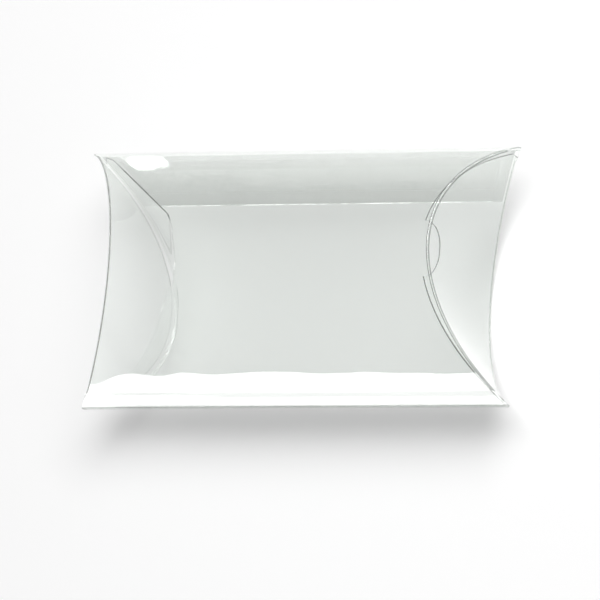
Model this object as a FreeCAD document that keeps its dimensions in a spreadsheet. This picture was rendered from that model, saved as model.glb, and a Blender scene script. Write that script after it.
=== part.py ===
import FreeCAD, Part
import os

# A clear film pillow box, empty, lying on its back panel.
# +X runs along the box, +Y towards its top long fold, +Z up towards the front panel.
# The origin is on the table, under the middle of the box.
# Panels, end walls and creases are drawn at mid film. Panels and end walls share one arc,
# so a crease, where a panel meets an end wall, is a flat curve that leans at 45 degrees.
# The slack sleeve leans over: film above the plane of the long folds is shifted up, film below it down,
# in step with its distance. Round arches become oval by it, and upright walls slope.

# Driving dimensions in millimetres and degrees: name, value, meaning.
DIMENSIONS = (
    ("box_length", "136", "between the corners of the box, along a long fold"),
    ("box_height", "70", "between the two long folds, drawn sharp"),
    ("bulge", "17.5", "arch of a panel, and depth of the hollow in an end wall"),
    ("crest_shift", "7.35", "lean of the slack sleeve: the front crest this far up, the back crest down"),
    ("film", "0.3", "thickness of the sheet"),
    ("rest_press", "0.12", "how far the back panel is pressed flat by the table"),
    ("fold_radius", "1.2", "radius of a long fold at mid film"),
    ("ridge", "0.4", "thickness of the score ridge along a curved crease"),
    ("hinge_gap", "0.9", "air between a score ridge and the flap that turns on it"),
    ("lap_gap", "0.25", "air between an outer flap and the inner flap behind it"),
    ("flap_tip_relief", "6", "how far the tips of an outer flap stop short of the corners"),
    ("outer_flap_shy", "1.7", "from the free edge of an outer flap to the back crease"),
    ("inner_flap_length", "32.6", "inner flap from its crease to its free edge, at mid height"),
    ("inner_flap_foot", "48", "half width of an inner flap's straight sides at the table"),
    ("notch_diameter", "15", "half-moon thumb notch in an inner flap"),
    ("notch_shoulder", "0.8", "free edge left on each side of the thumb notch"),
    ("right_lean", "3", "inward lean of the right inner flap, in degrees"),
    ("left_lean", "30", "inward lean of the left inner flap, in degrees"),
    ("glue_flap_width", "12.5", "glue flap from the top fold to its free edge"),
    ("glue_flap_setback", "1.5", "from the back creases to the ends of the glue flap"),
    ("glue_thickness", "0.1", "adhesive between the glue flap and the back panel"),
    ("glue_width", "8", "width of the line of adhesive"),
    ("glue_margin", "1.5", "from the top fold to the line of adhesive"),
    ("glue_setback", "5", "from the back creases to the ends of the line of adhesive"),
    ("lap_edge_set", "0.8", "from the plane of the long folds down to the back panel's cut edge"),
    ("overrun", "5", "extra length of a cutting solid past what it cuts"),
)

# Sums that several pieces share, as expressions on the sheet.
ARC = "((Sheet.box_height ^ 2 / 4 + Sheet.bulge ^ 2) / (2 * Sheet.bulge))"
DROP = f"({ARC} - Sheet.bulge)"
FOLD_LEVEL = "(Sheet.bulge + Sheet.film / 2 - Sheet.rest_press)"
FRONT_AXIS = f"({FOLD_LEVEL} - {DROP})"
BACK_AXIS = f"({FOLD_LEVEL} + {DROP})"
CREST = "(2 * Sheet.bulge + Sheet.film - Sheet.rest_press)"
FRONT_END_AXIS = f"(Sheet.box_length / 2 + {DROP})"
LAP = "(Sheet.film + Sheet.lap_gap)"
BACK_END_AXIS = f"({FRONT_END_AXIS} - {LAP})"
HINGE_SET = "(Sheet.ridge / 2 + Sheet.hinge_gap)"

# The lean as shift over distance. It turns a circle into an oval with this stretch and this long axis.
LEAN = "(Sheet.crest_shift / Sheet.bulge)"
STRETCH = f"(sqrt(1 + {LEAN} ^ 2 / 4) + {LEAN} / 2)"
LONG_AXIS = f"(atan(2 / {LEAN}) / 2)"
SLOPE = f"sqrt(1 + {LEAN} ^ 2)"

# The bottom fold rolls inside both panel arcs; its arc turns through twice this angle.
FOLD_REACH = f"({ARC} - Sheet.fold_radius)"
FOLD_TURN = f"asin({DROP} / {FOLD_REACH})"

# The top fold runs from the front panel into the glue flap, one lap inside the back panel.
GLUE_LAP = "(Sheet.film + Sheet.glue_thickness)"
LAP_REACH = f"({FOLD_REACH} - {GLUE_LAP})"
TOP_FOLD_RISE = f"(({FOLD_REACH} ^ 2 - {LAP_REACH} ^ 2) / (4 * {DROP}))"
TOP_FRONT_TURN = f"asin(({DROP} + {TOP_FOLD_RISE}) / {FOLD_REACH})"
TOP_LAP_TURN = f"asin(({DROP} - {TOP_FOLD_RISE}) / {LAP_REACH})"
LAP_ARC = f"({ARC} - {GLUE_LAP})"
CUT_EDGE_TURN = f"asin(({DROP} + Sheet.lap_edge_set) / {ARC})"

ALONG_X = "rotation(vector(1; 1; 1); 120)"

doc = FreeCAD.newDocument("pillow_box")
sheet = doc.addObject("Spreadsheet::Sheet", "Sheet")
for row, (name, value, meaning) in enumerate(DIMENSIONS, start=1):
    sheet.set(f"A{row}", name)
    sheet.set(f"B{row}", value)
    sheet.setAlias(f"B{row}", name)
    sheet.set(f"C{row}", meaning)
doc.recompute()

pieces = []


def bind(obj, **sizes):
    """Binds properties of a document object to expressions on the sheet."""
    for prop, expression in sizes.items():
        obj.setExpression(prop.replace("__", "."), expression)
    return obj


def place(obj, x, y, z, turn="rotation(vector(0; 0; 1); 0)"):
    """Places an object at expressions for its three coordinates, with a rotation."""
    obj.setExpression("Placement", f"placement(vector({x}; {y}; {z}); {turn})")
    return obj


def cut(name, base, tool):
    """One solid less another."""
    result = doc.addObject("Part::Cut", name)
    result.Base = base
    result.Tool = tool
    return result


def common(name, *shapes):
    """What several solids have in common."""
    result = doc.addObject("Part::MultiCommon", name)
    result.Shapes = list(shapes)
    return result


def fused(name, *shapes):
    """Several solids as one cutting tool."""
    result = doc.addObject("Part::MultiFuse", name)
    result.Shapes = list(shapes)
    return result


def piece(node, shape):
    """Keeps a document object as a piece of the box, under its own name."""
    shape.Label = node
    pieces.append(shape)


def shifted(height):
    """How far the lean shifts film at a height."""
    return f"({LEAN} * ({height} - {FOLD_LEVEL}))"


def drawn_out(name, base, length, x="0", y="0", z="0"):
    """A closed curve or a face, drawn out along a direction into a solid."""
    result = doc.addObject("Part::Extrusion", name)
    result.Base = base
    result.DirMode = "Custom"
    result.Solid = True
    return bind(result, Dir__x=x, Dir__y=y, Dir__z=z, LengthFwd=length)


def ribbon(name, outer, inner):
    """The flat face between two arcs that turn side by side."""
    face = doc.addObject("Part::RuledSurface", name)
    face.Curve1 = (outer, ["Edge1"])
    face.Curve2 = (inner, ["Edge1"])
    return face


def along_box(name, base):
    """A curve or face of the box's section, drawn out past both ends of the box."""
    return drawn_out(name, base, "Sheet.box_length + 2 * Sheet.overrun", x="1")


def up_the_wall(name, base):
    """A curve or face in plan, drawn up past the box along the slope of its end walls."""
    return drawn_out(name, base, f"({CREST} + 2 * Sheet.overrun) * {SLOPE}", y=LEAN, z="1")


def section_arc(name, radius, axis_y, axis_z, start="0 deg", sweep="360 deg"):
    """An arc in the box's section, leaned over; before that it starts from +Y and turns towards +Z."""
    arc = doc.addObject("Part::Ellipse", name)
    first = f"{start} - 90 deg + {LONG_AXIS}"
    bind(arc, MajorRadius=f"({radius}) * {STRETCH}", MinorRadius=f"({radius}) / {STRETCH}",
         Angle1=first, Angle2=f"{first} + {sweep}")
    turn = f"rotation(vector(1; 0; 0); {LONG_AXIS}) * {ALONG_X}"
    return place(arc, "-Sheet.box_length / 2 - Sheet.overrun", f"{axis_y} + {shifted(axis_z)}", axis_z, turn)


def rod_along_x(name, radius, axis_z):
    """A leaned oval rod along the box, in its upright middle plane."""
    return along_box(name, section_arc(f"{name}_oval", radius, "0", axis_z))


def bent_film(name, radius, axis_y, axis_z, start, sweep, thickness="Sheet.film"):
    """Film bent round a line along the box, from its mid film radius."""
    outer = section_arc(f"{name}_outer", f"{radius} + {thickness} / 2", axis_y, axis_z, start, sweep)
    inner = section_arc(f"{name}_inner", f"{radius} - {thickness} / 2", axis_y, axis_z, start, sweep)
    return along_box(f"{name}_film", ribbon(f"{name}_section", outer, inner))


def plan_arc(name, side, axis_x, radius, reach="180 deg"):
    """An arc in plan beside one end of the box, under its walls, to both sides of its innermost point."""
    arc = doc.addObject("Part::Circle", name)
    middle = "180 deg" if side > 0 else "0 deg"
    bind(arc, Radius=radius, Angle1=f"{middle} - ({reach})", Angle2=f"{middle} + ({reach})")
    return place(arc, f"{side} * {axis_x}", shifted("-Sheet.overrun"), "-Sheet.overrun")


def upright_rod(name, side, axis_x, radius):
    """A round rod beside one end of the box, along the slope of its walls and taller than the box."""
    return up_the_wall(name, plan_arc(f"{name}_circle", side, axis_x, radius))


def end_wall(name, side, axis_x, thickness):
    """The end wall before it is cut: an arc of film along the slope of the lean."""
    reach = f"90 deg - {FOLD_TURN}"
    outer = plan_arc(f"{name}_outer", side, axis_x, f"{ARC} + {thickness} / 2", reach)
    inner = plan_arc(f"{name}_inner", side, axis_x, f"{ARC} - {thickness} / 2", reach)
    return up_the_wall(f"{name}_wall", ribbon(f"{name}_plan", outer, inner))


def end_cutters(name, axis_x, setback):
    """Two rods that hollow both ends of a panel, a setback short of its creases."""
    right = upright_rod(f"{name}_right_end", 1, axis_x, f"{ARC} + {setback}")
    left = upright_rod(f"{name}_left_end", -1, axis_x, f"{ARC} + {setback}")
    return fused(f"{name}_ends", right, left)


def leaned_wedge(name, foot, head, top):
    """A block across the box whose half width goes from foot at the table to head at the top, leaned over."""
    wedge = doc.addObject("Part::Wedge", name)
    bind(wedge, Xmin=f"{shifted('0')} - {foot}", Xmax=f"{shifted('0')} + {foot}",
         X2min=f"{shifted(top)} - {head}", X2max=f"{shifted(top)} + {head}", Ymin="0", Ymax=top,
         Zmin="-Sheet.box_length", Zmax="Sheet.box_length",
         Z2min="-Sheet.box_length", Z2max="Sheet.box_length")
    return place(wedge, "0", "0", "0", ALONG_X)


def level_block(name, bottom, thickness):
    """A block under or in the box, between two levels."""
    block = doc.addObject("Part::Box", name)
    bind(block, Length="Sheet.box_length + 4 * Sheet.overrun", Width="Sheet.box_height", Height=thickness)
    return place(block, "-Sheet.box_length / 2 - 2 * Sheet.overrun", "-Sheet.box_height / 2", bottom)


def floor_block(name):
    """The room under the table's surface."""
    return level_block(name, "-2 * Sheet.overrun", "2 * Sheet.overrun")


def make_front_panel():
    """The upper panel: film arched over the box, hollowed at both ends."""
    film = bent_film("front", ARC, "0", FRONT_AXIS, TOP_FRONT_TURN,
                     f"180 deg - {FOLD_TURN} - {TOP_FRONT_TURN}")
    piece("front_panel", cut("FrontPanel", film, end_cutters("front", FRONT_END_AXIS, "Sheet.ridge / 2")))


def make_back_panel():
    """The lower panel: the same arch upside down, with a narrow flat where it lies on the table."""
    film = bent_film("back", ARC, "0", BACK_AXIS, f"180 deg + {FOLD_TURN}",
                     f"180 deg - {FOLD_TURN} - {CUT_EDGE_TURN}")
    pressed = cut("back_pressed", film, floor_block("under_back"))
    rod = rod_along_x("back_skin", f"{ARC} + Sheet.film / 2", BACK_AXIS)
    flat = common("back_flat", rod, level_block("flat_level", "0", "Sheet.film"))
    whole = fused("back_whole", pressed, flat)
    piece("back_panel", cut("BackPanel", whole, end_cutters("back", BACK_END_AXIS, "Sheet.ridge / 2")))


def rolled_fold(name, axis_y, axis_z, start, half_turn, lift):
    """A long fold: round film between the leaned edges of its two neighbours, turned over with them."""
    level = f"({axis_z} {lift} {LEAN} * Sheet.fold_radius * cos({half_turn}))"
    radius = f"Sheet.fold_radius * {SLOPE}"
    arcs = []
    for skin, sign in (("outer", "+"), ("inner", "-")):
        arc = doc.addObject("Part::Circle", f"{name}_{skin}")
        first = f"{start} - atan({LEAN})"
        bind(arc, Radius=f"{radius} {sign} Sheet.film / 2", Angle1=first, Angle2=f"{first} + 2 * {half_turn}")
        across = f"{axis_y} + {shifted(axis_z)}"
        arcs.append(place(arc, "-Sheet.box_length / 2 - Sheet.overrun", across, level, ALONG_X))
    return along_box(f"{name}_film", ribbon(f"{name}_section", *arcs))


def make_long_folds():
    """The two rounded folds along the box; the top one leads into the glue flap."""
    across = f"sqrt({FOLD_REACH} ^ 2 - {DROP} ^ 2)"
    bottom = rolled_fold("bottom_fold", f"-{across}", FOLD_LEVEL, f"180 deg - {FOLD_TURN}", FOLD_TURN, "-")
    ends = end_cutters("bottom_fold", BACK_END_AXIS, "Sheet.ridge / 2")
    room = fused("bottom_fold_room", ends, doc.front_film, doc.back_film)
    piece("bottom_fold", cut("BottomFold", bottom, room))
    across = f"sqrt({FOLD_REACH} ^ 2 - ({DROP} + {TOP_FOLD_RISE}) ^ 2)"
    top = rolled_fold("top_fold", across, f"({FOLD_LEVEL} + {TOP_FOLD_RISE})", f"-{TOP_LAP_TURN}",
                      f"(({TOP_LAP_TURN} + {TOP_FRONT_TURN}) / 2)", "+")
    ends = end_cutters("top_fold", BACK_END_AXIS, "Sheet.ridge / 2")
    room = fused("top_fold_room", ends, doc.front_film, doc.glue_flap_film)
    piece("top_fold", cut("TopFold", top, room))


def make_glued_lap():
    """The glue flap inside the back panel, and the line of adhesive under it."""
    sweep = f"Sheet.glue_flap_width / {LAP_ARC} * 180 deg / pi"
    flap = bent_film("glue_flap", LAP_ARC, "0", BACK_AXIS, f"-{TOP_LAP_TURN} - {sweep}", sweep)
    ends = end_cutters("glue_flap", BACK_END_AXIS, "Sheet.glue_flap_setback")
    piece("glue_flap", cut("GlueFlap", flap, ends))
    margin = f"Sheet.glue_margin / {LAP_ARC} * 180 deg / pi"
    sweep = f"Sheet.glue_width / {LAP_ARC} * 180 deg / pi"
    start = f"-{TOP_LAP_TURN} - {margin} - {sweep}"
    middle = f"({ARC} - {GLUE_LAP} / 2)"
    strip = bent_film("glue", middle, "0", BACK_AXIS, start, sweep, "Sheet.glue_thickness")
    piece("glue_strip", cut("GlueStrip", strip, end_cutters("glue", BACK_END_AXIS, "Sheet.glue_setback")))


def make_crease(node, side, face, end_axis, level):
    """A score ridge, where thickened film of a panel and of an end wall cross; flat at the table."""
    panel_outer = rod_along_x(f"{node}_panel_outer", f"{ARC} + Sheet.ridge / 2", level)
    panel_inner = rod_along_x(f"{node}_panel_inner", f"{ARC} - Sheet.ridge / 2", level)
    panel = cut(f"{node}_panel", panel_outer, panel_inner)
    ridge = common(f"{node}_ridge", panel, end_wall(node, side, end_axis, "Sheet.ridge"))
    if face < 0:
        ridge = cut(f"{node}_flat", ridge, floor_block(f"under_{node}"))
    piece(node, ridge)


def make_outer_flap(node, side):
    """A plain end flap: an arc of film between the front crease and its own free edge."""
    wall = end_wall(node, side, FRONT_END_AXIS, "Sheet.film")
    under_front = rod_along_x(f"{node}_crease_limit", f"{ARC} - {HINGE_SET}", FRONT_AXIS)
    above_back = rod_along_x(f"{node}_free_edge", f"{ARC} - Sheet.outer_flap_shy", BACK_AXIS)
    half = "(Sheet.box_height / 2 - Sheet.flap_tip_relief)"
    between_tips = leaned_wedge(f"{node}_tips", half, half, CREST)
    piece(node, common(f"{node}_flap", wall, under_front, above_back, between_tips))


def make_inner_flap(node, side, lean):
    """A notched end flap: the back crease carried upwards along its lean, cut to straight sides."""
    inward = f"(tan({lean} * 1 deg))"
    reach = f"90 deg - {FOLD_TURN}"
    middle = "180 deg" if side > 0 else "0 deg"
    axis_x = f"(Sheet.box_length / 2 - {LAP} + {DROP} * (1 + {inward}))"
    below = f"({FOLD_LEVEL} + Sheet.overrun)"
    curve = doc.addObject("Part::Ellipse", f"{node}_curve")
    bind(curve, MajorRadius=f"{ARC} * (1 + {inward})", MinorRadius=ARC,
         Angle1=f"{middle} - ({reach})", Angle2=f"{middle} + ({reach})")
    place(curve, f"{side} * ({axis_x} + {below} * {inward} + Sheet.film / 2)", shifted("-Sheet.overrun"),
          "-Sheet.overrun")
    strip = doc.addObject("Part::Extrusion", f"{node}_strip")
    strip.Base = curve
    strip.DirMode = "Custom"
    strip.Dir = FreeCAD.Vector(-side, 0, 0)
    bind(strip, LengthFwd="Sheet.film")
    length = f"({CREST} + 2 * Sheet.overrun) * sqrt(1 + {LEAN} ^ 2 + {inward} ^ 2)"
    film = drawn_out(f"{node}_sheet", strip, length, x=f"-({side}) * {inward}", y=LEAN, z="1")
    above_back = rod_along_x(f"{node}_crease_limit", f"{ARC} - {HINGE_SET}", BACK_AXIS)
    top = f"({FOLD_LEVEL} - Sheet.bulge + Sheet.inner_flap_length * cos({lean} * 1 deg))"
    half_top = "(Sheet.notch_diameter / 2 + Sheet.notch_shoulder)"
    outline = leaned_wedge(f"{node}_outline", "Sheet.inner_flap_foot", half_top, top)
    trimmed = common(f"{node}_trimmed", film, above_back, outline)

    notch = doc.addObject("Part::Cylinder", f"{node}_notch")
    bind(notch, Radius="Sheet.notch_diameter / 2", Height="2 * Sheet.overrun")
    tilt = f"rotation(vector(0; 1; 0); {side} * (90 - {lean}))"
    edge_x = f"({BACK_END_AXIS} - {ARC} - Sheet.inner_flap_length * sin({lean} * 1 deg))"
    place(notch, f"{side} * ({edge_x} - Sheet.overrun * cos({lean} * 1 deg))", shifted(top),
          f"{top} - Sheet.overrun * sin({lean} * 1 deg)", tilt)
    piece(node, cut(f"{node}_flap", trimmed, notch))


make_front_panel()
make_back_panel()
make_glued_lap()
make_long_folds()
for side, name in ((1, "right"), (-1, "left")):
    make_crease(f"{name}_front_crease", side, 1, FRONT_END_AXIS, FRONT_AXIS)
    make_crease(f"{name}_back_crease", side, -1, BACK_END_AXIS, BACK_AXIS)
    make_outer_flap(f"{name}_outer_flap", side)
    make_inner_flap(f"{name}_inner_flap", side, f"Sheet.{name}_lean")
doc.recompute()

# Every object has to be sound before anything is written.
for obj in doc.Objects:
    if "Invalid" in obj.State or "Error" in obj.State:
        raise RuntimeError(f"{obj.Label} failed: {obj.State}")
for item in pieces:
    if item.Shape.isNull() or not item.Shape.isValid() or len(item.Shape.Solids) != 1:
        raise RuntimeError(f"{item.Label} is not one sound solid")

os.makedirs("parts", exist_ok=True)
for item in pieces:
    item.Shape.exportStep(f"parts/{item.Label}.step")
    print(item.Label, round(item.Shape.Volume, 2), "cubic mm")
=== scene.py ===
import logging
import math
from collections import Counter
from dataclasses import dataclass
from enum import Enum, IntEnum
from typing import Iterable, List, Mapping, Optional, Sequence, Tuple, Union

import bmesh
import bpy
from bmesh.types import BMEdge, BMesh, BMFace, BMVert
from mathutils import Matrix, Vector


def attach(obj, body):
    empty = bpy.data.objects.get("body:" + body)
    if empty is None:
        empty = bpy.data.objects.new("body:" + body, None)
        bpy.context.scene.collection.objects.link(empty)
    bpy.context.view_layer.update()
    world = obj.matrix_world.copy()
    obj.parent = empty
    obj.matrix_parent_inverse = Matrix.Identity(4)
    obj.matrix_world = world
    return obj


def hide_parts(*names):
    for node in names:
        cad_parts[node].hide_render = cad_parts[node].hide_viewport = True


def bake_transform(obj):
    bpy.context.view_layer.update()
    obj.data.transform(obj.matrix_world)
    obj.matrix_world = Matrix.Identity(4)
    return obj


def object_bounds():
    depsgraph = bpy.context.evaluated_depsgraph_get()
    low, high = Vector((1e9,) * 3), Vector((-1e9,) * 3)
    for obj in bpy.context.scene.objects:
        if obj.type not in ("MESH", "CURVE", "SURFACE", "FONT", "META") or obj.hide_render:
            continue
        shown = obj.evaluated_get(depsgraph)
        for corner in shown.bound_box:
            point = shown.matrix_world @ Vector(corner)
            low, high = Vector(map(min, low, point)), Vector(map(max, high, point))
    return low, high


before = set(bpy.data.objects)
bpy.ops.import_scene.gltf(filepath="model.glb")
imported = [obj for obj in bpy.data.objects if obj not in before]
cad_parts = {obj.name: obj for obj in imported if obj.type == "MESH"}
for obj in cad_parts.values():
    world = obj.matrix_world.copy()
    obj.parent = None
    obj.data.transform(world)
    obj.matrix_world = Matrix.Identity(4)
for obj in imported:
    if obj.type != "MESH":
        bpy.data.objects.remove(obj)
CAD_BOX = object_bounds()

# The looks of a clear film pillow box, which lies empty on its back panel.
# The film is one die-cut sheet: it is rolled up, creased and trimmed as one welded mesh at mid film,
# then divided at its creases, so that neighbouring pieces meet exactly.

log = logging.getLogger("pillow_box")
Colour = Tuple[float, float, float]
ON_PLANE = 1e-7
SHARP_ANGLE = math.radians(50)


class Side(Enum):
    """The two ends of the box, with the sign of their X."""

    RIGHT = 1
    LEFT = -1


class Zone(Enum):
    """Stretches of the sheet between creases; each is a node of the frame under the same name."""

    GLUE_FLAP = 1
    TOP_FOLD = 2
    FRONT_PANEL = 3
    BOTTOM_FOLD = 4
    BACK_PANEL = 5
    RIGHT_FRONT_CREASE = 6
    LEFT_FRONT_CREASE = 7
    RIGHT_BACK_CREASE = 8
    LEFT_BACK_CREASE = 9
    RIGHT_OUTER_FLAP = 10
    LEFT_OUTER_FLAP = 11
    RIGHT_INNER_FLAP = 12
    LEFT_INNER_FLAP = 13

    @property
    def node(self) -> str:
        """The frame's node that this stretch of the sheet stands for."""
        return self.name.lower()

    @staticmethod
    def of(side: Side, part: str) -> "Zone":
        """The stretch of one end, such as its outer flap."""
        return Zone[f"{side.name}_{part}"]


class Skin(IntEnum):
    """Places in a piece's list of finishes. Pieces other than the sleeve use the first two."""

    PLAIN = 0
    EDGE = 1
    BACK = 2
    BACK_EDGE = 3
    LAP = 4
    FOLD = 5
    HEM = 6
    TIP_EDGE = 7


ZONE_SKIN = {Zone.BACK_PANEL: Skin.BACK, Zone.GLUE_FLAP: Skin.LAP, Zone.BOTTOM_FOLD: Skin.FOLD}
EDGE_SKIN = {Zone.BACK_PANEL: Skin.BACK_EDGE, Zone.FRONT_PANEL: Skin.TIP_EDGE, Zone.TOP_FOLD: Skin.TIP_EDGE,
             Zone.BOTTOM_FOLD: Skin.TIP_EDGE}
SLEEVE_ZONES = (Zone.GLUE_FLAP, Zone.TOP_FOLD, Zone.FRONT_PANEL, Zone.BOTTOM_FOLD, Zone.BACK_PANEL)


@dataclass(frozen=True)
class Bend:
    """One arc of the rolled sheet: its axis along the box, its turn and the stretch that it makes."""

    zone: Zone
    axis_y: float
    axis_z: float
    turn: float
    steps: int


@dataclass(frozen=True)
class BoxShape:
    """The driving sizes of the box in metres, as the frame has them, and the sums that follow from them.

    The hem is where the back panel's strip beside the bottom fold starts, and most_lift keeps the film from
    growing spikes at the sheet's sharp tips.
    """

    length: float = 0.136
    height: float = 0.070
    bulge: float = 0.0175
    film: float = 0.0003
    rest_press: float = 0.00012
    fold_radius: float = 0.0012
    lap_gap: float = 0.00025
    glue_thickness: float = 0.0001
    glue_flap_width: float = 0.0125
    glue_flap_setback: float = 0.0015
    glue_width: float = 0.008
    glue_margin: float = 0.0015
    glue_setback: float = 0.005
    lap_edge_set: float = 0.0008
    outer_flap_shy: float = 0.0017
    crease_offset: float = 0.0005
    lean: float = 0.42
    hem: float = 0.028
    most_lift: float = 1.3
    panel_steps: int = 84
    fold_steps: int = 12
    glue_steps: int = 12
    crease_segments: int = 5

    @property
    def arc(self) -> float:
        """Radius of the panels and end walls at mid film."""
        return (self.height ** 2 / 4 + self.bulge ** 2) / (2 * self.bulge)

    @property
    def drop(self) -> float:
        """From the plane of the long folds to the axis of a panel."""
        return self.arc - self.bulge

    @property
    def fold_level(self) -> float:
        """Height of the plane of the long folds over the table."""
        return self.bulge + self.film / 2 - self.rest_press

    @property
    def front_axis(self) -> float:
        """Height of the front panel's axis."""
        return self.fold_level - self.drop

    @property
    def back_axis(self) -> float:
        """Height of the back panel's axis."""
        return self.fold_level + self.drop

    @property
    def front_crease_set(self) -> float:
        """The sum of X and Z all along a front crease."""
        return self.length / 2 + self.fold_level

    @property
    def back_crease_set(self) -> float:
        """X less Z all along a back crease, one lap inside the end walls."""
        return self.length / 2 - self.film - self.lap_gap - self.fold_level

    @property
    def lap_arc(self) -> float:
        """Radius of the glue flap at mid film, inside the back panel."""
        return self.arc - self.film - self.glue_thickness

    @property
    def crest(self) -> float:
        """Height of the front panel's middle line at mid film."""
        return self.front_axis + self.arc

    @property
    def fold_reach(self) -> float:
        """From a panel's axis to the axis of the long fold that it runs into."""
        return self.arc - self.fold_radius

    @property
    def top_fold_rise(self) -> float:
        """How far the top fold's axis lies over the plane of the folds, because the glue flap is inside."""
        lap_reach = self.lap_arc - self.fold_radius
        return (self.fold_reach ** 2 - lap_reach ** 2) / (4 * self.drop)

    @property
    def top_lap_turn(self) -> float:
        """Angle, down from level, at which the glue flap leaves the top fold."""
        return math.asin((self.drop - self.top_fold_rise) / (self.lap_arc - self.fold_radius))

    @property
    def lean_over(self) -> Matrix:
        """The slack box's lean: film over the plane of the folds is shifted up, and film under it down."""
        shear = Matrix.Identity(4)
        shear[1][2] = self.lean
        shear[1][3] = -self.lean * self.fold_level
        return shear

    def bends(self) -> List[Bend]:
        """The arcs of the sheet in order, from the glue flap's free edge to the back panel's cut edge."""
        reach = self.fold_reach
        rise = self.top_fold_rise
        front_turn = math.asin((self.drop + rise) / reach)
        fold_turn = math.asin(self.drop / reach)
        cut_turn = math.asin((self.drop + self.lap_edge_set) / self.arc)
        top_y = math.sqrt(reach ** 2 - (self.drop + rise) ** 2)
        bottom_y = -math.sqrt(reach ** 2 - self.drop ** 2)
        return [
            Bend(Zone.GLUE_FLAP, 0, self.back_axis, self.glue_flap_width / self.lap_arc, self.glue_steps),
            Bend(Zone.TOP_FOLD, top_y, self.fold_level + rise, self.top_lap_turn + front_turn,
                 self.fold_steps),
            Bend(Zone.FRONT_PANEL, 0, self.front_axis, math.pi - fold_turn - front_turn, self.panel_steps),
            Bend(Zone.BOTTOM_FOLD, bottom_y, self.fold_level, 2 * fold_turn, self.fold_steps),
            Bend(Zone.BACK_PANEL, 0, self.back_axis, math.pi - fold_turn - cut_turn, self.panel_steps),
        ]


def of_kind(geometry: Iterable, kind: type) -> List:
    """The elements of one kind in a bmesh operator's result."""
    return [item for item in geometry if isinstance(item, kind)]


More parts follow.
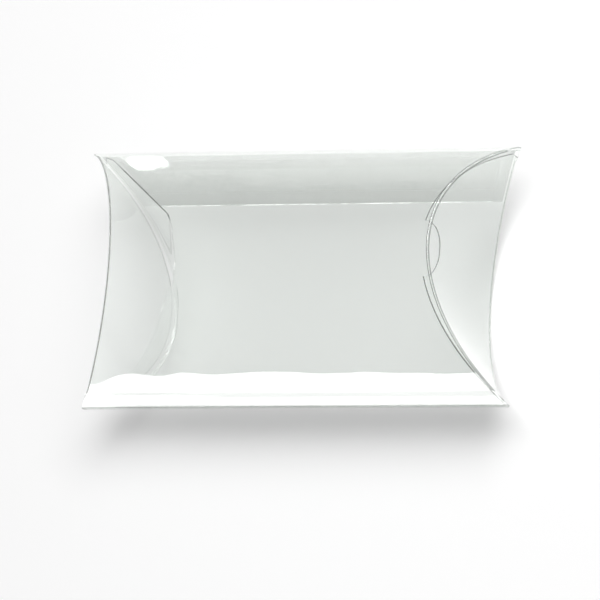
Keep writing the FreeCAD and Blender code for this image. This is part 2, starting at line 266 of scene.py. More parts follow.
class FilmBlank:
    """The whole sheet, folded up and welded at mid film, whose faces know their zone."""

    def __init__(self, shape: BoxShape) -> None:
        """Starts an empty sheet.

        Args:
            shape: sizes of the box.
        """
        self.shape = shape
        self.mesh: BMesh = bmesh.new()
        self.zone = self.mesh.faces.layers.int.new("zone")
        self.is_cut = self.mesh.edges.layers.int.new("is_cut")
        self.lift = self.mesh.verts.layers.float_vector.new("lift")

    def faces_of(self, *zones: Zone) -> List[BMFace]:
        """The faces of some stretches of the sheet."""
        wanted = {zone.value for zone in zones}
        return [face for face in self.mesh.faces if face[self.zone] in wanted]

    def tag(self, faces: Iterable[BMFace], zone: Zone) -> None:
        """Marks faces as one stretch of the sheet."""
        for face in faces:
            face[self.zone] = zone.value

    def roll_sleeve(self) -> None:
        """Spins one long edge through the five bends, and presses the back panel flat on the table."""
        shape = self.shape
        start = -shape.top_lap_turn - shape.glue_flap_width / shape.lap_arc
        across = shape.lap_arc * math.cos(start)
        up = shape.back_axis + shape.lap_arc * math.sin(start)
        ends = [self.mesh.verts.new((side.value * shape.length, across, up)) for side in Side]
        front: List = [*ends, self.mesh.edges.new(ends)]
        for bend in shape.bends():
            rolled = set(self.mesh.faces)
            spun = bmesh.ops.spin(self.mesh, geom=front, cent=(0, bend.axis_y, bend.axis_z), axis=(1, 0, 0),
                                  angle=bend.turn, steps=bend.steps)
            front = of_kind(spun["geom_last"], (BMVert, BMEdge))
            self.tag((face for face in self.mesh.faces if face not in rolled), bend.zone)
        bmesh.ops.remove_doubles(self.mesh, verts=self.mesh.verts[:], dist=ON_PLANE)
        for vert in self.mesh.verts:
            vert.co.z = max(vert.co.z, shape.film / 2)

    def trim(self, faces: List[BMFace], point: Sequence[float], normal: Sequence[float]) -> None:
        """Cuts faces along a plane and drops what lies beyond it.

        Args:
            faces: the faces to cut.
            point: a point of the plane.
            normal: the plane's normal, towards the waste.
        """
        edges = {edge for face in faces for edge in face.edges}
        verts = {vert for face in faces for vert in face.verts}
        zones = {face[self.zone] for face in faces}
        bmesh.ops.bisect_plane(self.mesh, geom=[*faces, *edges, *verts], dist=ON_PLANE, plane_co=point,
                               plane_no=normal)
        waste = [face for face in self.mesh.faces if face[self.zone] in zones
                 and (face.calc_center_median() - Vector(point)).dot(Vector(normal)) > 0]
        bmesh.ops.delete(self.mesh, geom=waste, context="FACES")

    def crease_plane(self, side: Side, front: bool) -> Tuple[Vector, Vector]:
        """The leaning plane that a crease lies in.

        Args:
            side: the end of the box.
            front: True for the front crease, False for the back one.

        Returns:
            A point of the plane and its unit normal, away from the box.
        """
        reach = self.shape.front_crease_set if front else self.shape.back_crease_set
        normal = Vector((side.value, 0, 1 if front else -1)).normalized()
        return Vector((side.value * reach, 0, 0)), normal

    def trim_ends(self) -> None:
        """Cuts both ends of the sleeve along its four crease planes, and the glue flap shorter."""
        for side in Side:
            for front in (True, False):
                self.trim(self.mesh.faces[:], *self.crease_plane(side, front))
            point, normal = self.crease_plane(side, False)
            inset = Vector((side.value * self.shape.glue_flap_setback, 0, 0))
            self.trim(self.faces_of(Zone.GLUE_FLAP), point - inset, normal)

    def crease_chain(self, side: Side, front: bool, reach: float) -> List[BMEdge]:
        """The edges of a panel along a crease, out to a distance from its middle."""
        point, normal = self.crease_plane(side, front)
        panel = Zone.FRONT_PANEL if front else Zone.BACK_PANEL
        chain = []
        for edge in self.mesh.edges:
            if len(edge.link_faces) != 1 or edge.link_faces[0][self.zone] != panel.value:
                continue
            on_crease = all(abs((vert.co - point).dot(normal)) < 2 * ON_PLANE for vert in edge.verts)
            if on_crease and all(abs(vert.co.y) <= reach for vert in edge.verts):
                chain.append(edge)
        return chain

    def draw_flap(self, flap: Zone, chain: List[BMEdge], step: Vector, rows: int) -> None:
        """Draws a flap out of a crease, row by row.

        Args:
            flap: the stretch that the new faces belong to.
            chain: the edges that the flap turns on.
            step: from one row to the next.
            rows: how many rows.
        """
        for _ in range(rows):
            drawn = bmesh.ops.extrude_edge_only(self.mesh, edges=chain)["geom"]
            fresh = set(of_kind(drawn, BMVert))
            bmesh.ops.translate(self.mesh, vec=step, verts=list(fresh))
            self.tag(of_kind(drawn, BMFace), flap)
            chain = [edge for edge in of_kind(drawn, BMEdge) if fresh.issuperset(edge.verts)]

    def round_crease(self, crease: Zone, panel: Zone, flap: Zone) -> None:
        """Turns the sharp edge between a panel and a flap into a narrow rounded strip, short of its tips.

        Args:
            crease: the stretch that the strip becomes.
            panel: the stretch on one side of it.
            flap: the stretch on the other side.
        """
        pair = {panel.value, flap.value}
        scored = [edge for edge in self.mesh.edges if {face[self.zone] for face in edge.link_faces} == pair]
        uses = Counter(vert for edge in scored for vert in edge.verts)
        chain = [edge for edge in scored if all(uses[vert] > 1 for vert in edge.verts)]
        rounded = bmesh.ops.bevel(self.mesh, geom=chain, offset=self.shape.crease_offset,
                                  offset_type="OFFSET", segments=self.shape.crease_segments, profile=0.5,
                                  affect="EDGES", material=-1, clamp_overlap=False, loop_slide=True)
        self.tag(rounded["faces"], crease)

    def settle(self) -> None:
        """Leans the box, turns its faces outwards, and records cut edges and the way through the film."""
        bmesh.ops.transform(self.mesh, matrix=self.shape.lean_over, verts=self.mesh.verts[:])
        bmesh.ops.recalc_face_normals(self.mesh, faces=self.mesh.faces[:])
        top = max(self.faces_of(Zone.FRONT_PANEL), key=lambda face: face.calc_center_median().z)
        if top.normal.z < 0:
            bmesh.ops.reverse_faces(self.mesh, faces=self.mesh.faces[:])
        self.mesh.normal_update()
        for edge in self.mesh.edges:
            edge[self.is_cut] = int(edge.is_boundary)
        for vert in self.mesh.verts:
            vert[self.lift] = vert.normal * min(vert.calc_shell_factor(), self.shape.most_lift)

    def piece(self, *zones: Zone) -> BMesh:
        """A solid piece of film, from some stretches of the sheet.

        Args:
            zones: the stretches that stay together.

        Returns:
            A closed mesh. Its cut edges and score lines have the skin EDGE, unless their stretch has an edge
            skin of its own, and its other faces have what their stretch wears.
        """
        part = self.mesh.copy()
        layer = part.faces.layers.int["zone"]
        wanted = {zone.value for zone in zones}
        worn = {zone.value: skin for zone, skin in ZONE_SKIN.items()}
        edged = {zone.value: skin for zone, skin in EDGE_SKIN.items()}
        creases = {zone.value for zone in Zone if zone.name.endswith("CREASE")}
        for face in part.faces:
            beside = {other[layer] for edge in face.edges for other in edge.link_faces}
            scored = face[layer] in creases and len(beside) > 1
            face.material_index = Skin.EDGE if scored else worn.get(face[layer], Skin.PLAIN)
            if face[layer] == Zone.BACK_PANEL.value and face.calc_center_median().y < -self.shape.hem:
                face.material_index = Skin.HEM
        others = [face for face in part.faces if face[layer] not in wanted]
        bmesh.ops.delete(part, geom=others, context="FACES")
        thicken(part, self.shape.film)
        for face in part.faces:
            if face.material_index == Skin.EDGE:
                face.material_index = edged.get(face[layer], Skin.EDGE)
        return part


def thicken(part: BMesh, film: float) -> None:
    """Gives a mid-film sheet its thickness along its recorded way through the film, and skins its cut edges.

    Args:
        part: the sheet, changed in place.
        film: thickness of the film.
    """
    lift = part.verts.layers.float_vector["lift"]
    is_cut = part.edges.layers.int["is_cut"]
    inside = part.faces[:]
    drawn = bmesh.ops.extrude_face_region(part, geom=inside, use_keep_orig=True)["geom"]
    raised = set(of_kind(drawn, BMVert))
    skin = {*inside, *of_kind(drawn, BMFace)}
    for vert in part.verts:
        vert.co += vert[lift] * (film / 2 if vert in raised else -film / 2)
    for face in part.faces:
        if face not in skin and any(edge[is_cut] for edge in face.edges):
            face.material_index = Skin.EDGE
    bmesh.ops.recalc_face_normals(part, faces=part.faces[:])


def film_object(name: str, part: BMesh, materials: Sequence[bpy.types.Material]) -> bpy.types.Object:
    """Makes a scene object of a finished mesh, smooth but for its sharp edges.

    Args:
        name: the piece's name.
        part: its mesh, freed here.
        materials: the finishes that its faces point to.

    Returns:
        The new object, at the origin.
    """
    mesh = bpy.data.meshes.new(name)
    part.to_mesh(mesh)
    part.free()
    for material in materials:
        mesh.materials.append(material)
    mesh.polygons.foreach_set("use_smooth", [True] * len(mesh.polygons))
    mesh.set_sharp_from_angle(angle=SHARP_ANGLE)
    made = bpy.data.objects.new(name, mesh)
    bpy.context.scene.collection.objects.link(made)
    return made


class Value:
    """A shader value that can be written into sums; every sum adds its Math node."""

    def __init__(self, book: "NodeBook", socket: bpy.types.NodeSocket) -> None:
        """Wraps an output socket of a material's node tree."""
        self.book = book
        self.socket = socket

    def math(self, operation: str, *terms: Union["Value", float]) -> "Value":
        """The result of one Math node."""
        return self.book.add("ShaderNodeMath", {"operation": operation}, dict(enumerate(terms)))

    def __add__(self, other: Union["Value", float]) -> "Value":
        """Sum."""
        return self.math("ADD", self, other)

    def __radd__(self, other: float) -> "Value":
        """Sum, with the number first."""
        return self.math("ADD", other, self)

    def __mul__(self, other: Union["Value", float]) -> "Value":
        """Product."""
        return self.math("MULTIPLY", self, other)

    def __rmul__(self, other: float) -> "Value":
        """Product, with the number first."""
        return self.math("MULTIPLY", other, self)

    def __pow__(self, other: float) -> "Value":
        """Power."""
        return self.math("POWER", self, other)

    def most(self, other: Union["Value", float]) -> "Value":
        """The larger of two values."""
        return self.math("MAXIMUM", self, other)


Input = Union[Value, float, Sequence[float]]


class NodeBook:
    """The node tree of one material or world, which nodes are added to."""

    def __init__(self, owner: Union[bpy.types.Material, bpy.types.World]) -> None:
        """Empties the owner's node tree."""
        owner.use_nodes = True
        self.tree = owner.node_tree
        self.tree.nodes.clear()

    def add(self, kind: str, settings: Mapping, inputs: Mapping[Union[str, int], Input],
            output: Union[str, int] = 0) -> Value:
        """Adds any node.

        Args:
            kind: the node's type.
            settings: its settings, which are set first; stops are a ramp's places and colours.
            inputs: values or links of its sockets, by name or place.
            output: which output is returned.

        Returns:
            The node's output.
        """
        node = self.tree.nodes.new(kind)
        for name, setting in settings.items():
            if name == "stops":
                self.set_stops(node.color_ramp, setting)
            else:
                setattr(node, name, setting)
        for name, item in inputs.items():
            if isinstance(item, Value):
                self.tree.links.new(item.socket, node.inputs[name])
            else:
                node.inputs[name].default_value = item
        return Value(self, node.outputs[output] if node.outputs else None)

    def noise(self, place: Value, scale: float, detail: float) -> Value:
        """A noise pattern, between 0 and 1."""
        return self.add("ShaderNodeTexNoise", {}, {"Vector": place, "Scale": scale, "Detail": detail})

    def shown(self) -> Value:
        """1 for the rays that show a surface: straight to the camera, or by way of gloss or glass."""
        ray = [self.add("ShaderNodeLightPath", {}, {}, name)
               for name in ("Is Camera Ray", "Is Glossy Ray", "Is Transmission Ray")]
        return ray[0].most(ray[1]).most(ray[2])

    @staticmethod
    def set_stops(ramp: bpy.types.ColorRamp, stops: Sequence[Tuple[float, float]]) -> None:
        """Gives a ramp its grey stops.

        Args:
            ramp: the ramp of a new node, with its two first stops.
            stops: place and grey of each stop, in order.
        """
        while len(ramp.elements) < len(stops):
            ramp.elements.new(1.0)
        for element, (place, grey) in zip(ramp.elements, stops):
            element.position = place
            element.color = (grey, grey, grey, 1)


def rgba(colour: Colour) -> Tuple[float, float, float, float]:
    """A colour with full alpha, as shader sockets take it."""
    return (*colour, 1.0)


@dataclass(frozen=True)
class Spot:
    """A patch of painted reflection: the film mirrors more inside it, so a highlight with a ragged rim shows
    there.
    """

    centre: Tuple[float, float, float]
    reach: Tuple[float, float, float]
    mirror: float
    grain_scale: float = 320.0
    grain: float = 0.8
    rim: Tuple[float, float] = (1.0, 1.5)

    def share(self, book: NodeBook, place: Value) -> Value:
        """What the painted reflection patch adds to the film's mirroring.

        Args:
            book: the film's node tree.
            place: Object coordinates.

        Returns:
            The spot's own mirroring inside it, fading to 0 at its rim.
        """
        off = book.add("ShaderNodeVectorMath", {"operation": "SUBTRACT"}, {0: place, 1: self.centre})
        scaled = book.add("ShaderNodeVectorMath", {"operation": "DIVIDE"}, {0: off, 1: self.reach})
        far = book.add("ShaderNodeVectorMath", {"operation": "LENGTH"}, {0: scaled}, "Value")
        grain = book.noise(place, self.grain_scale, 2.0)
        return book.add("ShaderNodeMapRange", {"interpolation_type": "SMOOTHSTEP"},
                        {"Value": far + self.grain * grain, "From Min": self.rim[0], "From Max": self.rim[1],
                         "To Min": self.mirror, "To Max": 0.0})


@dataclass(frozen=True)
class FilmFinish:
    """Clear film: what passes is tinted a little, and more is mirrored towards the rims.

    The tint is what the camera sees through one layer, and the shade is what the layer lets through to the
    floor. A finish with clear_below is as good as clear under that Y. The dark tints of the crease and edge
    finishes are painted shade for the dark lines there, and the patch and glint dashes paint reflections.
    """

    name: str
    tint: Colour
    shade: Colour
    roughness: float = 0.02
    head_on: float = 0.04
    ripple_scale: float = 28.0
    ripple: float = 0.0004
    haze: float = 0.0
    scuff_scale: float = 900.0
    glint_dash_scale: float = 0.0
    glint_dash_stops: Tuple[Tuple[float, float], ...] = ((0.44, 0.15), (0.56, 1.0))
    spot: Optional[Spot] = None
    clear_below: Optional[float] = None
    fade: float = 0.0012
    bare: Colour = (0.98, 0.98, 0.98)
    milk: Colour = (0.8, 0.82, 0.8)
    milk_roughness: float = 0.4

    def mirroring(self, book: NodeBook, place: Value) -> Value:
        """How much of the light the film mirrors: least where it is seen head on."""
        facing = book.add("ShaderNodeLayerWeight", {}, {"Blend": 0.5}, "Facing")
        mirror = self.head_on + (1 - self.head_on) * facing ** 5
        # painted reflection: a patch where the film mirrors more, placed to give a highlight
        if self.spot:
            mirror = mirror + self.spot.share(book, place)
        # painted glint: noise breaks the mirroring into bright dashes
        if self.glint_dash_scale:
            glint_dashes = book.noise(place, self.glint_dash_scale, 2.0)
            mirror = mirror * book.add("ShaderNodeValToRGB", {"stops": self.glint_dash_stops}, {0: glint_dashes})
        return mirror

    def passing(self, book: NodeBook, place: Value) -> Value:
        """The see-through part, with the shade in place of the tint for the light that casts shadows."""
        seen = book.add("ShaderNodeBsdfTransparent", {}, {"Color": rgba(self.tint)})
        if self.clear_below is not None:
            height = book.add("ShaderNodeSeparateXYZ", {}, {"Vector": place}, "Y")
            share = book.add("ShaderNodeMapRange", {}, {"Value": height, "From Min": self.clear_below,
                                                        "From Max": self.clear_below + self.fade})
            bare = book.add("ShaderNodeBsdfTransparent", {}, {"Color": rgba(self.bare)})
            seen = book.add("ShaderNodeMixShader", {}, {0: share, 1: bare, 2: seen})
        shadow_ray = book.add("ShaderNodeLightPath", {}, {}, "Is Shadow Ray")
        thinned = book.add("ShaderNodeBsdfTransparent", {}, {"Color": rgba(self.shade)})
        return book.add("ShaderNodeMixShader", {}, {0: shadow_ray, 1: seen, 2: thinned})

    def material(self) -> bpy.types.Material:
        """Builds the finish.

        Returns:
            A see-through, mirroring material that also thins the light it lets through.
        """
        made = bpy.data.materials.new(self.name)
        book = NodeBook(made)
        place = book.add("ShaderNodeTexCoord", {}, {}, "Object")
        waves = book.noise(place, self.ripple_scale, 1.0)
        bump = book.add("ShaderNodeBump", {}, {"Height": waves, "Strength": 1.0, "Distance": self.ripple})
        gloss = book.add("ShaderNodeBsdfGlossy", {},
                         {"Color": (1, 1, 1, 1), "Roughness": self.roughness, "Normal": bump})
        film = book.add("ShaderNodeMixShader", {},
                        {0: self.mirroring(book, place), 1: self.passing(book, place), 2: gloss})
        if self.haze:
            scuff = book.noise(place, self.scuff_scale, 3.0)
            milk = book.add("ShaderNodeBsdfPrincipled", {},
                            {"Base Color": rgba(self.milk), "Roughness": self.milk_roughness})
            film = book.add("ShaderNodeMixShader", {}, {0: self.haze * scuff, 1: film, 2: milk})
        book.add("ShaderNodeOutputMaterial", {}, {"Surface": film})
        return made


@dataclass(frozen=True)
class FloorFinish:
    """The pale floor: it takes the shadow round the box, and runs out to plain white away from it."""

    colour: Colour = (0.97, 0.97, 0.97)
    glow_share: float = 0.12
    near: float = 0.13
    far: float = 0.45

    def material(self) -> bpy.types.Material:
        """Builds the finish, with a share of plain white for the rays that show the floor."""
        made = bpy.data.materials.new("pale_floor")
        book = NodeBook(made)
        place = book.add("ShaderNodeTexCoord", {}, {}, "Object")
        reach = book.add("ShaderNodeVectorMath", {"operation": "LENGTH"}, {0: place}, "Value")
        share = book.add("ShaderNodeMapRange", {"interpolation_type": "SMOOTHSTEP"},
                         {"Value": reach, "From Min": self.near, "From Max": self.far,
                          "To Min": self.glow_share, "To Max": 1.0})
        matt = book.add("ShaderNodeBsdfDiffuse", {}, {"Color": rgba(self.colour)})
        white = book.add("ShaderNodeEmission", {}, {"Color": (1, 1, 1, 1), "Strength": 1.0})
        mixed = book.add("ShaderNodeMixShader", {}, {0: book.shown() * share, 1: matt, 2: white})
        book.add("ShaderNodeOutputMaterial", {}, {"Surface": mixed})
        return made


@dataclass
class Palette:
    """The finishes that the pieces wear."""

    film: bpy.types.Material
    back_film: bpy.types.Material
    lap_film: bpy.types.Material
    fold_film: bpy.types.Material
    hem_film: bpy.types.Material
    flap_film: bpy.types.Material
    front_score: bpy.types.Material
    back_score: bpy.types.Material
    cut_edge_painted_shade: bpy.types.Material
    faded_edge_painted_shade: bpy.types.Material
    flap_edge: bpy.types.Material
    seam_edge: bpy.types.Material
    panel_edge: bpy.types.Material
    glue: bpy.types.Material
    glue_bead: bpy.types.Material


@dataclass
class OuterFlap:
    """A plain closing flap: an upright curved wall that hangs from the front crease."""

    side: Side
    tip_relief: float = 0.002
    rows: int = 14

    @property
    def zone(self) -> Zone:
        """Its stretch of the sheet."""
        return Zone.of(self.side, "OUTER_FLAP")

    @property
    def crease(self) -> Zone:
        """The crease that it turns on."""
        return Zone.of(self.side, "FRONT_CREASE")

    def cut(self, blank: FilmBlank) -> None:
        """Draws the flap down from its crease, and cuts its free edge just over the back panel."""
        shape = blank.shape
        chain = blank.crease_chain(self.side, True, shape.height / 2 - self.tip_relief)
        step = Vector((0, 0, -shape.crest / self.rows))
        blank.draw_flap(self.zone, chain, step, self.rows)
        free_set = shape.length / 2 - shape.fold_level - shape.outer_flap_shy
        blank.trim(blank.faces_of(self.zone), (self.side.value * free_set, 0, 0), (self.side.value, 0, -1))
        blank.round_crease(self.crease, Zone.FRONT_PANEL, self.zone)

    def dress(self, blank: FilmBlank, palette: Palette) -> bpy.types.Object:
        """Makes the flap's piece."""
        # painted light: the flap's film is tinted lighter than the panels'
        shape = blank.shape
        # painted shade: the flap's cut edges wear a darker tint for the line an edge shows
        made = film_object(f"{self.zone.node}_film", blank.piece(self.zone),
                           [palette.flap_film, palette.flap_edge])
        inward = Vector((-self.side.value, 0, -1)).normalized()
        top = Vector((self.side.value * (shape.front_crease_set - shape.crest), 0, shape.crest))
        depth = shape.crest / math.sqrt(2)
        self.zone.node
        top + depth * inward
        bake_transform(made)
        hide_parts(self.zone.node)
        return made


@dataclass
class InnerFlap:
    """A closing flap with a curved free edge and a half-moon thumb notch, which leans into the box.

    The free edge is cut while the flap is upright, at edge_gap from the front panel. A flap with a side_cut
    has straight sides too: each is cut by a plane with that normal (inwards, across and up), which meets the
    box's long axis side_start from its middle.
    """

    side: Side
    lean: float
    upright: float = 3.0
    reach: float = 0.0326
    edge_gap: float = 0.0016
    edge_turn: float = 53.0
    edge_cuts: int = 26
    side_cut: Optional[Tuple[float, float, float]] = None
    side_start: float = 0.0
    notch_radius: float = 0.0075
    crease_reach: float = 0.0336
    rows: int = 16
    notch_steps: int = 72

    @property
    def zone(self) -> Zone:
        """Its stretch of the sheet."""
        return Zone.of(self.side, "INNER_FLAP")

    @property
    def crease(self) -> Zone:
        """The crease that it turns on."""
        return Zone.of(self.side, "BACK_CREASE")

    def way(self, lean: float) -> Vector:
        """The direction from the crease to the free edge, at a lean into the box in degrees."""
        turn = math.radians(lean)
        return Vector((-self.side.value * math.sin(turn), 0, math.cos(turn)))

    def free_edge(self, shape: BoxShape) -> Vector:
        """The middle of the free edge."""
        foot = Vector((self.side.value * shape.back_crease_set, 0, 0))
        return foot + self.reach * self.way(self.lean)

    def cut(self, blank: FilmBlank) -> None:
        """Draws the flap up from its crease, trims it under the front panel and leans it in."""
        shape = blank.shape
        chain = blank.crease_chain(self.side, False, self.crease_reach)
        upright = self.way(self.upright)
        blank.draw_flap(self.zone, chain, shape.crest / self.rows * upright, self.rows)
        axis = Vector((0, 0, shape.front_axis))
        for cut in range(self.edge_cuts + 1):
            turn = math.radians(self.edge_turn) * (2 * cut / self.edge_cuts - 1)
            outward = Vector((0, math.sin(turn), math.cos(turn)))
            rim = axis + (shape.arc - self.edge_gap) * outward
            blank.trim(blank.faces_of(self.zone), rim, outward)
        if self.side_cut:
            inward, across, rise = self.side_cut
            for half in (1, -1):
                blank.trim(blank.faces_of(self.zone), (self.side.value * self.side_start, 0, 0),
                           (-self.side.value * inward, half * across, rise))
        point, outward = blank.crease_plane(self.side, False)
        push = (self.way(self.lean) - upright) / upright.dot(outward)
        shear = Matrix([unit + part * outward for unit, part in zip(Matrix.Identity(3), push)]).to_4x4()
        leaned = Matrix.Translation(point) @ shear @ Matrix.Translation(-point)
        verts = {vert for face in blank.faces_of(self.zone) for vert in face.verts}
        bmesh.ops.transform(blank.mesh, matrix=leaned, verts=list(verts))
        blank.round_crease(self.crease, Zone.BACK_PANEL, self.zone)

    def notch(self, made: bpy.types.Object, shape: BoxShape) -> None:
        """Cuts the thumb notch out of the free edge.

        Args:
            made: the flap's piece, changed in place.
            shape: sizes of the box.
        """
        punch = bmesh.new()
        square = self.way(self.lean).cross(Vector((0, 1, 0)))
        centre = shape.lean_over @ self.free_edge(shape)
        turn = square.to_track_quat("Z", "Y").to_matrix().to_4x4()
        bmesh.ops.create_cone(punch, cap_ends=True, segments=self.notch_steps, radius1=self.notch_radius,
                              radius2=self.notch_radius, depth=self.notch_radius,
                              matrix=Matrix.Translation(centre) @ turn)
        for face in punch.faces:
            face.material_index = Skin.EDGE
        cutter = film_object("thumb_punch", punch, list(made.data.materials))
        cut = made.modifiers.new("thumb_notch", "BOOLEAN")
        cut.operation = "DIFFERENCE"
        cut.solver = "EXACT"
        cut.object = cutter
        graph = bpy.context.evaluated_depsgraph_get()
        notched = bpy.data.meshes.new_from_object(made.evaluated_get(graph))
        made.modifiers.clear()
        made.data = notched
        made.data.set_sharp_from_angle(angle=SHARP_ANGLE)
        bpy.data.objects.remove(cutter)

    def dress(self, blank: FilmBlank, palette: Palette) -> bpy.types.Object:
        """Makes the flap's piece and cuts its thumb notch."""
        # painted light: the flap's film is tinted lighter than the panels'
        shape = blank.shape
        # painted shade: the free edge wears a dark tint, which on the left flap fades to clear low down
        rim = palette.cut_edge_painted_shade if self.side is Side.RIGHT else palette.faded_edge_painted_shade
        made = film_object(f"{self.zone.node}_film", blank.piece(self.zone), [palette.flap_film, rim])
        self.notch(made, shape)
        inward = Vector((-self.side.value, 0, 1)).normalized()
        depth = (self.reach * self.way(self.lean)).dot(inward)
        self.zone.node
        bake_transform(made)
        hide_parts(self.zone.node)
        return made


@dataclass
class Sleeve:
    """The rolled film: glue flap, top fold, front panel, bottom fold and back panel in one sheet."""

    shape: BoxShape

    def dress(self, blank: FilmBlank, palette: Palette) -> bpy.types.Object:
        """Makes the sleeve's piece."""
        part = blank.piece(*SLEEVE_ZONES)
        # painted shade: the bottom fold, the panel tips and the back panel's cut edge wear darker tints for
        # their dark lines
        made = film_object("sleeve_film", part,
                           [palette.film, palette.seam_edge, palette.back_film, palette.panel_edge,
                            palette.lap_film, palette.fold_film, palette.hem_film, palette.front_score])
        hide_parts(*(zone.node for zone in SLEEVE_ZONES))
        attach(made, "sleeve")
        return made


@dataclass
class GlueSeam:
    """The line of adhesive between the glue flap and the back panel."""

    shape: BoxShape
    steps: int = 10
    bead: float = 0.00013
    bead_sides: int = 12

    def lay_strip(self, seam: BMesh) -> None:
        """Spins the layer, trims its ends along the back creases and gives it its thickness."""
        shape = self.shape
        radius = shape.arc - (shape.film + shape.glue_thickness) / 2
        start = -shape.top_lap_turn - (shape.glue_margin + shape.glue_width) / radius
        across = radius * math.cos(start)
        up = shape.back_axis + radius * math.sin(start)
        ends = [seam.verts.new((side.value * shape.length / 2, across, up)) for side in Side]
        bmesh.ops.spin(seam, geom=[*ends, seam.edges.new(ends)], cent=(0, 0, shape.back_axis), axis=(1, 0, 0),
                       angle=shape.glue_width / radius, steps=self.steps)
        for side in Side:
            end = shape.back_crease_set - shape.glue_setback
            bmesh.ops.bisect_plane(seam, geom=[*seam.verts, *seam.edges, *seam.faces], dist=ON_PLANE,
                                   plane_co=(side.value * end, 0, 0), plane_no=(side.value, 0, -1),
                                   clear_outer=True)
        bmesh.ops.transform(seam, matrix=shape.lean_over, verts=seam.verts[:])
        bmesh.ops.recalc_face_normals(seam, faces=seam.faces[:])
        bmesh.ops.solidify(seam, geom=seam.faces[:], thickness=shape.glue_thickness / 2)

    def lay_bead(self, seam: BMesh) -> None:
        """Lays the squeezed-out bead along the glue flap's free edge."""
        shape = self.shape
        strip = set(seam.faces)
        turn = -shape.top_lap_turn - shape.glue_flap_width / shape.lap_arc
        height = shape.back_axis + shape.lap_arc * math.sin(turn)
        edge = shape.lean_over @ Vector((0, shape.lap_arc * math.cos(turn), height))
        length = 2 * (shape.back_crease_set - shape.glue_setback + height)
        bmesh.ops.create_cone(seam, cap_ends=True, segments=self.bead_sides, radius1=self.bead,
                              radius2=self.bead, depth=length,
                              matrix=Matrix.Translation(edge) @ Matrix.Rotation(math.pi / 2, 4, "Y"))
        for face in seam.faces:
            face.material_index = Skin.PLAIN if face in strip else Skin.EDGE

    def dress(self, palette: Palette) -> bpy.types.Object:
        """Makes the adhesive's piece."""
        seam = bmesh.new()
        self.lay_strip(seam)
        self.lay_bead(seam)
        # the bead wears a painted glint: it mirrors strongly, in dashes
        made = film_object("glue_seam", seam, [palette.glue, palette.glue_bead])
        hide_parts("glue_strip")
        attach(made, "sleeve")
        return made


def dress_crease(zone: Zone, blank: FilmBlank, palette: Palette) -> bpy.types.Object:
    """Makes one rounded crease.

    Args:
        zone: the crease's stretch of the sheet.
        blank: the folded sheet.
        palette: the finishes.

    Returns:
        The crease's piece, which stays with the sleeve.
    """
    # painted shade: the crease's score rows wear a dark tint for the dark crease line
    score = palette.front_score if zone.name.endswith("FRONT_CREASE") else palette.back_score
    made = film_object(f"{zone.node}_film", blank.piece(zone), [palette.film, score])
    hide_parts(zone.node)
    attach(made, "sleeve")
    return made


@dataclass(frozen=True)
class PhotoView:
    """Where the camera stands, as angles to the front panel, and where the box falls in the picture."""

    yaw: float = 32.06
    pitch: float = 5.24
    roll: float = 2.72
    distance: float = 4.0
    pixels_per_metre: float = 3717.0
    picture_width: float = 600.0
    centre_pixel: Tuple[float, float] = (300.1, 279.2)
    sensor: float = 36.0
    far_clip: float = 80.0

    def make(self, centre: Vector) -> bpy.types.Object:
        """Makes the camera.

        Args:
            centre: the point of the box that falls on the centre pixel.

        Returns:
            The camera, set as the scene's own.
        """
        yaw, pitch, roll = (math.radians(angle) for angle in (self.yaw, self.pitch, self.roll))
        back = Vector((math.sin(yaw) * math.cos(pitch), -math.sin(pitch), math.cos(yaw) * math.cos(pitch)))
        up = (Vector((0, 1, 0)) - back.y * back).normalized()
        right = up.cross(back)
        right, up = (math.cos(roll) * right + math.sin(roll) * up,
                     math.cos(roll) * up - math.sin(roll) * right)
        middle = self.picture_width / 2
        aim = (centre + right * (middle - self.centre_pixel[0]) / self.pixels_per_metre
               - up * (middle - self.centre_pixel[1]) / self.pixels_per_metre)
        lens = bpy.data.cameras.new("camera")
        lens.sensor_width = self.sensor
        lens.lens = self.pixels_per_metre * self.distance * self.sensor / self.picture_width
        lens.clip_end = self.far_clip
        camera = bpy.data.objects.new("camera", lens)
        camera.matrix_world = Matrix((right, up, back)).transposed().to_4x4()
        camera.location = aim + self.distance * back
        bpy.context.scene.collection.objects.link(camera)
        bpy.context.scene.camera = camera
        return camera


@dataclass(frozen=True)
class Softbox:
    """A rectangular studio lamp that faces the box. Only the key lamp casts shadows."""

    name: str
    way: Vector
    distance: float
    size: Tuple[float, float]
    radiance: float
    shadows: bool = True

    def make(self, target: Vector) -> bpy.types.Object:
        """Makes the lamp.

        Args:
            target: what the lamp faces.

        Returns:
            The lamp, which the camera itself doesn't see.
        """
        lamp = bpy.data.lights.new(self.name, "AREA")
        lamp.shape = "RECTANGLE"
        lamp.size, lamp.size_y = self.size
        lamp.energy = self.radiance * math.pi * self.size[0] * self.size[1]
        lamp.use_shadow = self.shadows
        made = bpy.data.objects.new(self.name, lamp)
        made.location = target + self.distance * self.way.normalized()
        made.rotation_euler = self.way.to_track_quat("Z", "Y").to_euler()
        made.visible_camera = False
        bpy.context.scene.collection.objects.link(made)
        return made


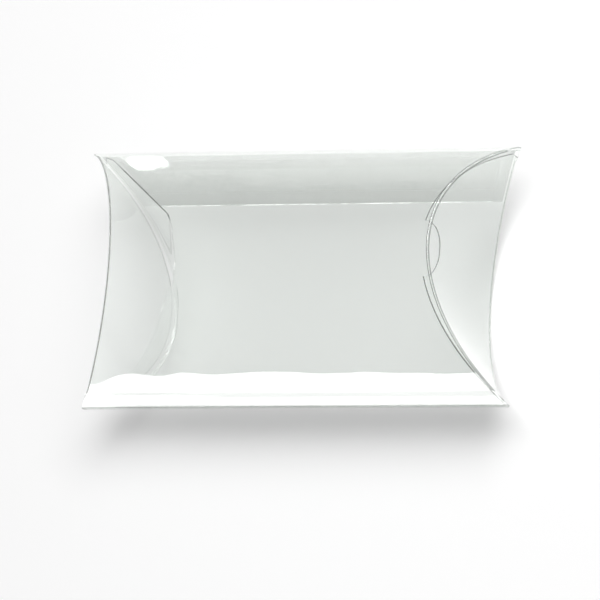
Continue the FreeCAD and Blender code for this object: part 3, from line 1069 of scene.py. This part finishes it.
@dataclass
class Studio:
    """The floor, lamps, world and camera round the box."""

    floor_size: float = 12.0
    floor_gap: float = 0.0001
    world_grey: float = 0.14
    film_layers: int = 48

    def make(self, centre: Vector) -> None:
        """Sets the studio up.

        Args:
            centre: the middle of the box.
        """
        scene = bpy.context.scene
        scene.view_settings.view_transform = "Standard"
        scene.cycles.transparent_max_bounces = self.film_layers
        self.make_floor()
        self.make_world()
        for lamp in (
            Softbox("key_softbox", Vector((0.5, 0.48, 0.95)), 1.6, (0.8, 1.3), 8.4),
            Softbox("fill_softbox", Vector((-1.2, 0.45, 0.7)), 1.8, (0.7, 0.9), 0.8, False),
            Softbox("strip_softbox", Vector((-0.5923, -1.4543, 0.43)), 1.628, (0.8, 0.63), 6.5, False),
        ):
            lamp.make(centre)
        PhotoView().make(centre)

    def make_floor(self) -> None:
        """Makes the floor under the box."""
        plane = bmesh.new()
        bmesh.ops.create_grid(plane, x_segments=1, y_segments=1, size=self.floor_size / 2,
                              matrix=Matrix.Translation((0, 0, -self.floor_gap)))
        floor = film_object("floor", plane, [FloorFinish().material()])

    def make_world(self) -> None:
        """Makes the surroundings: white to the camera, a plain grey light to the box."""
        world = bpy.data.worlds.new("studio")
        bpy.context.scene.world = world
        book = NodeBook(world)
        grey = (self.world_grey,) * 3
        light = book.add("ShaderNodeBackground", {}, {"Color": rgba(grey), "Strength": 1.0})
        white = book.add("ShaderNodeBackground", {}, {"Color": (1, 1, 1, 1), "Strength": 1.0})
        mixed = book.add("ShaderNodeMixShader", {}, {0: book.shown(), 1: light, 2: white})
        book.add("ShaderNodeOutputWorld", {}, {"Surface": mixed})


def make_palette() -> Palette:
    """The finishes of the box."""
    tint = (0.972, 0.980, 0.973)
    shade = (0.90, 0.90, 0.90)
    light_shade = (0.96, 0.96, 0.96)
    return Palette(
        film=FilmFinish("clear_film", tint, shade).material(),
        back_film=FilmFinish("back_film", tint, shade, head_on=0.002).material(),
        # painted reflection: the lapped film mirrors more in one patch at the left end, which shows as a
        # white highlight
        lap_film=FilmFinish("lapped_film", (0.862, 0.867, 0.862), light_shade, head_on=0.002,
                            spot=Spot((-0.052, 0.0325, 0.0145), (0.0075, 0.0022, 0.009), 0.14)).material(),
        # painted shade: the bottom fold's darker tint gives the dark line along the fold
        fold_film=FilmFinish("folded_film_painted_shade", (0.86, 0.865, 0.86), (0.2, 0.2, 0.2)).material(),
        hem_film=FilmFinish("hem_film", tint, (0.53, 0.53, 0.53), head_on=0.002).material(),
        # painted light: the flaps' film is tinted lighter and mirrors more than the panels' film, so the
        # box's ends look brighter
        flap_film=FilmFinish("flap_film", (0.988, 0.993, 0.989), light_shade, head_on=0.06).material(),
        # painted shade: the score and edge finishes below, except the milky seam edge, wear dark tints for
        # the dark lines that refraction gives at creases and edges
        front_score=FilmFinish("front_score", (0.60, 0.61, 0.60), shade).material(),
        back_score=FilmFinish("back_score", (0.90, 0.91, 0.90), shade).material(),
        cut_edge_painted_shade=FilmFinish("cut_edge_painted_shade", (0.12, 0.13, 0.12), shade).material(),
        faded_edge_painted_shade=FilmFinish("faded_edge_painted_shade", (0.08, 0.09, 0.08), shade, clear_below=0.0150).material(),
        flap_edge=FilmFinish("flap_edge", (0.70, 0.71, 0.70), shade).material(),
        seam_edge=FilmFinish("seam_edge", (0.95, 0.96, 0.95), shade, haze=0.5).material(),
        # painted shade: the back panel's cut edge wears a darker tint for its dark line
        panel_edge=FilmFinish("panel_edge", (0.80, 0.81, 0.80), shade).material(),
        glue=FilmFinish("adhesive", (0.99, 0.99, 0.99), (0.98, 0.98, 0.98), head_on=0.0, haze=0.10,
                        scuff_scale=700.0).material(),
        # painted highlight: the bead mirrors almost all light, broken into dashes, so it shows as a white
        # dashed glint along the seam
        glue_bead=FilmFinish("glue_bead", tint, (0.98, 0.98, 0.98), roughness=0.15, head_on=0.85,
                             glint_dash_scale=260.0).material(),
    )


def main() -> None:
    """Builds the box and the studio, and reports each piece."""
    logging.basicConfig(level=logging.INFO, format="%(name)s %(message)s")
    shape = BoxShape()
    palette = make_palette()
    blank = FilmBlank(shape)
    blank.roll_sleeve()
    blank.trim_ends()
    flaps: List[Union[OuterFlap, InnerFlap]] = [
        OuterFlap(Side.RIGHT),
        OuterFlap(Side.LEFT),
        InnerFlap(Side.RIGHT, lean=4.5),
        InnerFlap(Side.LEFT, lean=30.0, edge_gap=0.0005, side_cut=(1.0835, 0.940, 0.3414),
                  side_start=0.02914),
    ]
    for flap in flaps:
        flap.cut(blank)
    blank.settle()
    pieces = [Sleeve(shape).dress(blank, palette), GlueSeam(shape).dress(palette)]
    pieces += [dress_crease(flap.crease, blank, palette) for flap in flaps]
    pieces += [flap.dress(blank, palette) for flap in flaps]
    for piece in pieces:
        log.info("%s: %d faces, %d points", piece.name, len(piece.data.polygons), len(piece.data.vertices))
    low, high = CAD_BOX
    Studio().make((Vector(low) + Vector(high)) / 2)


if __name__ == "__main__":
    main()
